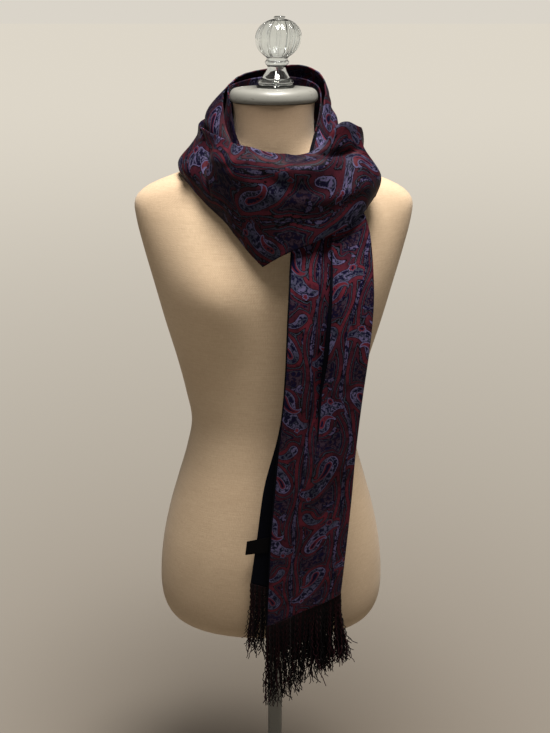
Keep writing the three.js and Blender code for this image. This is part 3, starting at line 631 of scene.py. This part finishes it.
# White painted wood and metal, with scuffs that show what is under the paint
def white_paint():
    m, tree, shader = material("scuffed_white_paint")
    place = object_mm(tree)
    scuff = ramp(tree, noise_node(tree, scaled(tree, place, (0.25, 0.25, 2.0)), 3.0, 5.0, 0.7, 0.5), 0.61, 0.66)
    col = mix(tree, maths(tree, "MULTIPLY", scuff, 0.7), linear("757570"), linear("4f4a43"))
    rough = ramp(tree, noise_node(tree, place, 12.0, 3.0), 0.0, 1.0, 0.28, 0.5)
    plug(tree, shader, {"Base Color": col, "Roughness": rough})
    relief(tree, shader, maths(tree, "MULTIPLY", scuff, -1.0), 0.3, 0.3)
    return m


# Clear pressed glass, with faint handling marks in its polish
def pressed_glass():
    m, tree, shader = material("clear_pressed_glass")
    rough = ramp(tree, noise_node(tree, object_mm(tree), 9.0), 0.0, 1.0, 0.01, 0.07)
    plug(tree, shader, {"Base Color": linear("f4f7f7"), "Transmission Weight": 1.0, "IOR": 1.5, "Roughness": rough})
    return m


PRINT = printed_cloth("printed_satin_twill", 1.0)
# The print darkened as painted shade, for the wrap's outside, its end fold and its inner wrap, which lie in shade
SHADED_PRINT = printed_cloth("printed_satin_twill_painted_shade", 0.62)
NAVY = backing_cloth()
RIBBON = satin_ribbon()
YARNS = [yarn("black_fringe_yarn", "050305"), yarn("burgundy_fringe_yarn", "26090f"),
         yarn("grey_fringe_yarn", "2e2829")]
YARN_SHARES = (0.5, 0.42, 0.08)
LINEN = linen_cloth()
WHITE = white_paint()
GLASS = pressed_glass()

# The loop round the neck


def along_loop(turn, radius):
    return (turn - LOOP_START) * math.pi / 180 * radius


def loop_ease(turn):
    """1 along the loop, falling to 0 at its two ends."""
    return np.clip(np.minimum(turn - LOOP_START, LOOP_END - turn) / 8, 0, 1)


def loop_creases(turn, v):
    """Soft, uneven folds of the loop, in millimetres outwards."""
    d = 0.9 * noise(turn / 16, v * 3.2, 1) + 0.45 * noise(turn / 6, v * 5, 2)
    for t0, v0, t1, v1, wide, out in LOOP_CREASES:
        q = np.clip((turn - t0) / (t1 - t0), -0.3, 1.3)
        bend = v0 + (v1 - v0) * q + 0.03 * np.sin(q * 4 + t0)
        d = d + out * bump(v, bend, wide) * eased(1.15 - np.abs(q - 0.5) * 2.1)
    return d


def band_roll(turn, v):
    """How far the band rolls out below its top edge across the front, in millimetres."""
    return 18.0 * bump(v, 0.68, 0.085) * gate(turn, -50, 5, 40, 6) * (1 + 0.12 * np.sin(turn / 9))


def hem_tuck(turn, v):
    """How far the hem lies in towards the form, left of the hanging ends, in millimetres."""
    low = np.clip((v - 0.72) / 0.28, 0, 1)
    return 15.0 * low * low * gate(turn, -62, 6, -1, 2.2)


def flap_drop(turn, v):
    """How far the corner of the flap over the shoulder hangs, in millimetres."""
    late = np.clip((turn - 47) / 13, 0, 1)
    return 3.0 * late * late * bump(v, 0.47, 0.06)


def make_loop():
    turn, v = stretch(LOOP_START, LOOP_END, 420, 92)
    tuck = hem_tuck(turn, v)
    P = outer_cloth(turn, v) + around(turn, band_roll(turn, v) - tuck, -0.41 * tuck)
    P = pushed(P, loop_creases(turn, v) * loop_ease(turn))
    P[..., 2] -= flap_drop(turn, v)
    # Both sides of the wrap wear the print darkened as painted shade, and its rim wears the plain print
    return cloth("loop", P, along_loop(turn, 92), (0, 9), (SHADED_PRINT, PRINT), LOOP_WALL,
                 ("wrap_right", "wrap_back", "wrap_left", "front_band"), rim=1)


def make_loop_end():
    """The fold where the doubled loop turns back on itself, at the right shoulder."""
    share, v = stretch(0.0, 0.97, 26, 92)
    turn = np.full(v.shape, LOOP_END)
    outer, inner = outer_cloth(turn, v), inner_cloth(turn, v)
    middle, arm = (outer + inner) / 2, (outer - inner) / 2
    reach = np.hypot(arm[..., 0], arm[..., 1]) * (1 + 1.7 * bump(v, 0.575, 0.05) - 0.6 * bump(v, 0.66, 0.03))
    ahead = around(turn + 90, reach, 0 * v)
    P = middle + arm * np.cos(np.pi * share)[..., None] + ahead * np.sin(np.pi * share)[..., None]
    P[..., 2] -= flap_drop(LOOP_END, v) * (1 + share)
    along = along_loop(LOOP_END, 92) + share * 30
    return cloth("loop_fold", P, along, (0, 9), (SHADED_PRINT,), LOOP_WALL, ("loop_end",))


def make_inner():
    turn, v = stretch(LOOP_START, LOOP_END, 300, 40)
    P = pushed(inner_cloth(turn, v), (0.8 * noise(turn / 14, v * 3, 5) - 0.6) * loop_ease(turn))
    along = along_loop(turn, 66) + 60
    return cloth("loop_inner", P, along, (0, 31), (SHADED_PRINT,), INNER_WALL, ("inner_wrap", "band_behind"))


# The hanging ends


def tail_folds(along, x):
    """Soft folds along a hanging end, with x as the share of its width."""
    reach = np.clip((along - 60) / 80, 0, 1)
    middle = 0.53 - 0.02 * np.clip(along / 400, 0, 1) + 0.01 * np.sin(along / 43)
    depth = 9.5 + 1.0 * np.sin(along / 31)
    d = 2.2 * bump(x, middle - 0.13, 0.06) - depth * bump(x, middle, 0.058)
    d = (d - 2.5 * bump(x, middle + 0.06, 0.13) + 2.4 * bump(x, middle + 0.2, 0.07)) * eased((540 - along) / 200)
    d = d + 1.2 * bump(x, 0.22 + 0.02 * np.sin(along / 70), 0.07)
    d = d - 0.8 * bump(x, 0.8 + 0.02 * np.sin(along / 55 + 1), 0.05)
    d = d + 0.8 * noise(along / 46, x * 4, 7) + 0.25 * noise(along / 14, x * 9, 8)
    return d * reach


def make_front_tail():
    along, v = stretch(TAIL_START, FRONT_HEM, 400, 108)
    x = v * 10 / 6
    edges = np.clip((1.05 - x) / 0.1, 0, 1) * np.clip(x / 0.04, 0, 1)
    P = pushed(tail_cloth(FRONT_TAIL, along, v), tail_folds(along, x) * edges)
    return cloth("front_tail_cloth", P, along, (37, 24), (PRINT, NAVY), FRONT_WALL, ("front_tail",),
                 edge=2, back=1, rim=1)


def make_back_tail():
    along, v = stretch(TAIL_START, BACK_HEM, 260, 46)
    out = 0.5 * noise(along / 50, v * 4, 11) * np.clip(along / 60, 0, 1)
    P = pushed(tail_cloth(BACK_TAIL, along, v), out)
    return cloth("back_tail_cloth", P, along, (90, 60), (NAVY, PRINT), BACK_WALL,
                 ("back_tail_face", "back_tail_backing"), back=1, rim=1)


def make_label():
    """The bare tab, folded from satin ribbon, a little wider than the plain solid and with its edges rounded."""
    widen = 1.2
    bm = bmesh.new()
    bm.from_mesh(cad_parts["label"].data)
    bmesh.ops.remove_doubles(bm, verts=bm.verts, dist=1e-6)
    bmesh.ops.dissolve_limit(bm, angle_limit=0.02, verts=bm.verts, edges=bm.edges)
    middle = sum(v.co.z for v in bm.verts) / len(bm.verts)
    for v in bm.verts:
        v.co.z = middle + widen * (v.co.z - middle)
    bmesh.ops.bevel(bm, geom=bm.edges[:], offset=0.22 * MM, segments=3, affect="EDGES", profile=0.5, material=-1)
    mesh = bpy.data.meshes.new("bare_label")
    bm.to_mesh(mesh)
    bm.free()
    mesh.materials.append(RIBBON)
    return own(add("bare_label", mesh), "backing", "label")


# The fringe


def make_fringe(name, rows, hem, seed, count, length, node_name, lowest):
    """Crinkled yarns that gather in locks and part again at their ends. length is at the left and the right edge."""
    width, locks, steps = 98.0, 26, 38
    rng = np.random.default_rng(seed)
    curve = bpy.data.curves.new(name, "CURVE")
    curve.dimensions = "3D"
    curve.bevel_depth = 0.78 * MM
    curve.bevel_resolution = 0
    curve.use_fill_caps = True
    for kind in YARNS:
        curve.materials.append(kind)
    q = np.linspace(0, 1, steps)
    late, last = np.clip((q - 0.25) / 0.75, 0, 1)[:, None], np.clip((q - 0.82) / 0.18, 0, 1)[:, None]
    gather = 0.75 * bump(q, 0.62, 0.3)

    def hem_point(v):
        return tail_cloth(rows, np.array([hem]), np.array([v]))[0]

    first = hem_point(0.0)[0]
    pull = rng.normal(0, 0.8, (locks, 2))
    for k in range(count):
        root = hem_point(np.clip((k + rng.uniform(0, 1)) / count, 0.004, 0.996))
        share = (root[0] - first) / width
        lock = min(int(share * locks), locks - 1)
        reach = (length[0] + (length[1] - length[0]) * share) * (1 - 0.3 * rng.uniform(0, 1) ** 1.7)
        centre = first + (lock + 0.5) / locks * width
        spread = (share - 0.4) * 5 + rng.normal(0, 1.6)
        bends = np.cumsum(rng.normal(0, 0.75, (steps, 2)), 0)
        crinkle = 0.75 * np.sin(q[:, None] * reach / rng.uniform(1.1, 1.9, 2) + rng.uniform(0, 6.28, 2))
        hook = rng.normal(0, 4.5, 2) * last ** 2
        side = (bends - bends[0]) * late + crinkle * np.clip(q / 0.1, 0, 1)[:, None] + hook
        x = root[0] + (centre - root[0]) * gather + (spread + 4 * pull[lock, 0]) * q ** 1.5 + side[:, 0]
        y = root[1] + (rng.normal(0, 2.2) + 2 * pull[lock, 1]) * q + 0.7 * side[:, 1]
        z = np.maximum(root[2] - 0.4 - reach * q, lowest + rng.uniform(0, 6))
        line = curve.splines.new("POLY")
        line.points.add(steps - 1)
        line.points.foreach_set("co", np.column_stack([x * MM, y * MM, z * MM, np.ones(steps)]).ravel())
        line.points.foreach_set("radius", rng.uniform(0.75, 1.15) * (1.1 - 0.35 * q))
        line.material_index = int(rng.choice(len(YARNS), p=YARN_SHARES))
    return own(add(name, curve), "yarn", node_name)


# The form and what is on it


def full_turn(steps):
    angles = np.linspace(0, 2 * math.pi, steps + 1)
    angles[-1] = 0.0
    return angles


def capped(rings, x=0.0):
    """A stack of level rings, closed by a point on the axis at each end."""
    low, high = (np.repeat([[x, 0.0, ring[0, 2]]], len(ring), 0) for ring in (rings[0], rings[-1]))
    return np.stack([low, *rings, high], 1)


def revolve(name, levels, steps, point, kind, round_radius):
    """A closed solid of rings. round_radius is what its UV map is laid out at, in millimetres."""
    P = capped([point(np.full(steps + 1, z), full_turn(steps)) for z in levels])
    A, Z = np.meshgrid(np.linspace(0, round_radius * 2 * math.pi, steps + 1), P[0, :, 2], indexing="ij")
    return grid_mesh(name, P, np.stack([A, Z], -1), close=True, materials=(kind,))


def ring(radius, x, z, angle):
    return np.stack([x + radius * np.cos(angle), radius * np.sin(angle), z + 0 * angle], -1)


def make_form():
    foot = FORM_BOTTOM + np.array([0.0, 1, 3, 6])
    levels = np.concatenate([foot, np.arange(FORM_BOTTOM + 10, NECK_TOP, 5.0), [NECK_TOP]])
    own(revolve("linen_form", levels, 160, form_point, LINEN, 110.0), "linen", "form")


def make_cap():
    angles = full_turn(128)
    P = capped([ring(r, CAP_X, z, angles) for r, z in zip(CAP["radius"], CAP["z"] + CAP_Z)], CAP_X)
    own(grid_mesh("painted_cap", P, P[..., :2], close=True, materials=(WHITE,)), "white_paint", "neck_cap")


def make_finial():
    """A blown and pressed finial: a ribbed hollow ball on a stem with two rings."""
    def wall_point(wall):
        def at(z, angle):
            up = z - FINIAL_Z
            r = smooth(FINIAL, "z", up)
            turn = np.mod(angle * FINIAL_RIBS / (2 * math.pi) + GROOVE["shift"], 1.0) - 0.5
            groove = GROOVE["depth"] * r["rib"] * bump(turn, 0.0, GROOVE["wide"])
            radius = r["radius"] * (1 + 0.01 * r["rib"] - groove) - wall
            return ring(radius, FINIAL_LEAN["start"] + FINIAL_LEAN["slope"] * up, z, angle)
        return at

    steps = FINIAL_RIBS * 30
    top = FINIAL["z"][-1]
    obj = revolve("glass_finial", FINIAL_Z + np.linspace(0, top, 150), steps, wall_point(0), GLASS, 25.0)
    levels = FINIAL_Z + np.linspace(2.6, 72.0, 120)
    hollow = revolve("hollow", levels, steps, wall_point(GLASS_WALL), GLASS, 25.0)
    bm = bmesh.new()
    bm.from_mesh(hollow.data)
    bmesh.ops.reverse_faces(bm, faces=bm.faces)
    bm.from_mesh(obj.data)
    bm.to_mesh(obj.data)
    bm.free()
    spare = hollow.data
    bpy.data.objects.remove(hollow)
    bpy.data.meshes.remove(spare)
    own(obj, "glass", "finial")


def finish_stand():
    for name in ("pole", "base"):
        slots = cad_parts[name].data.materials
        slots.clear()
        slots.append(WHITE)


make_form()
make_cap()
make_finial()
finish_stand()
loop = make_loop()
loop_end = make_loop_end()
inner = make_inner()
front = make_front_tail()
back = make_back_tail()
front_fringe = make_fringe("front_fringe_yarns", FRONT_TAIL, FRONT_HEM, 11, 330, (143, 112), "front_fringe", 346)
back_fringe = make_fringe("back_fringe_yarns", BACK_TAIL, BACK_HEM, 47, 240, (118, 114), "back_fringe", 384)
label = make_label()

# The studio: floor, lights, surroundings and camera. Places are in metres
FLOOR_HALF_MM, FLOOR_FADE_MM = 300000, 2700
LIGHT_COLOUR = linear("fffaf3")[:3]
KEY = dict(energy=3.15, angle=14, direction=(-0.12, 0.10, -0.988))
LAMP = dict(energy=33, size=0.5, place=(0.08, -0.31, 2.18), target=(0, -0.05, 0.9))
FOCAL_PX, PICTURE_HEIGHT_PX, SENSOR_MM = 850, 733, 36.0
CAMERA_PLACE, CAMERA_TILT = (0, -1.040, 1.236), 22.2


def make_floor():
    """A wide floor, darker by the stand as painted shade, that runs out to the pale surroundings."""
    m, tree, shader = material("studio_floor_painted_shade")
    away = node(tree, "ShaderNodeVectorMath", {0: object_mm(tree)}, operation="LENGTH").outputs["Value"]
    # Painted shade: the floor's colour darkens towards the stand
    near = maths(tree, "EXPONENT", maths(tree, "MULTIPLY", away, -1 / FLOOR_FADE_MM))
    col = mix(tree, near, linear("d8d5cd"), linear("61584e"))
    plug(tree, shader, {"Base Color": col, "Roughness": 1.0, "Specular IOR Level": 0.0})
    side = np.linspace(-1, 1, 13)
    side = FLOOR_HALF_MM * np.sign(side) * np.abs(side) ** 3
    X, Y = np.meshgrid(side, side, indexing="ij")
    grid_mesh("studio_floor", np.stack([X, Y, 0 * X], -1), materials=(m,))


def light(name, kind, energy, direction):
    data = bpy.data.lights.new(name, kind)
    data.energy, data.color = energy, LIGHT_COLOUR
    obj = add(name, data)
    obj.rotation_euler = Vector(direction).to_track_quat("-Z", "Y").to_euler()
    return obj


def surroundings():
    """Pale where they are seen, and dim as a light."""
    world = bpy.data.worlds.new("studio")
    bpy.context.scene.world = world
    world.use_nodes = True
    tree = world.node_tree
    dim = tree.nodes["Background"]
    plug(tree, dim, {0: linear("e6e4e2"), 1: 0.085})
    pale = node(tree, "ShaderNodeBackground", {0: linear("dad4c9"), 1: 1.0})
    path = node(tree, "ShaderNodeLightPath")
    seen = maths(tree, "MAXIMUM", path.outputs["Is Camera Ray"], path.outputs["Is Transmission Ray"])
    both = node(tree, "ShaderNodeMixShader", {0: seen, 1: dim.outputs[0], 2: pale.outputs[0]})
    plug(tree, tree.nodes["World Output"], {0: both.outputs[0]})


make_floor()
key = light("key", "SUN", KEY["energy"], KEY["direction"])
key.data.angle = math.radians(KEY["angle"])
lamp = light("lamp", "AREA", LAMP["energy"], Vector(LAMP["target"]) - Vector(LAMP["place"]))
lamp.location, lamp.data.size, lamp.visible_camera = LAMP["place"], LAMP["size"], False
surroundings()
bpy.context.scene.view_settings.view_transform = "Standard"

cam_data = bpy.data.cameras.new("camera")
cam_data.sensor_width = SENSOR_MM
cam_data.lens = FOCAL_PX / PICTURE_HEIGHT_PX * SENSOR_MM
camera = add("camera", cam_data)
camera.location = CAMERA_PLACE
camera.rotation_euler = (math.radians(90 - CAMERA_TILT), 0, 0)
bpy.context.scene.camera = camera

bpy.context.view_layer.update()
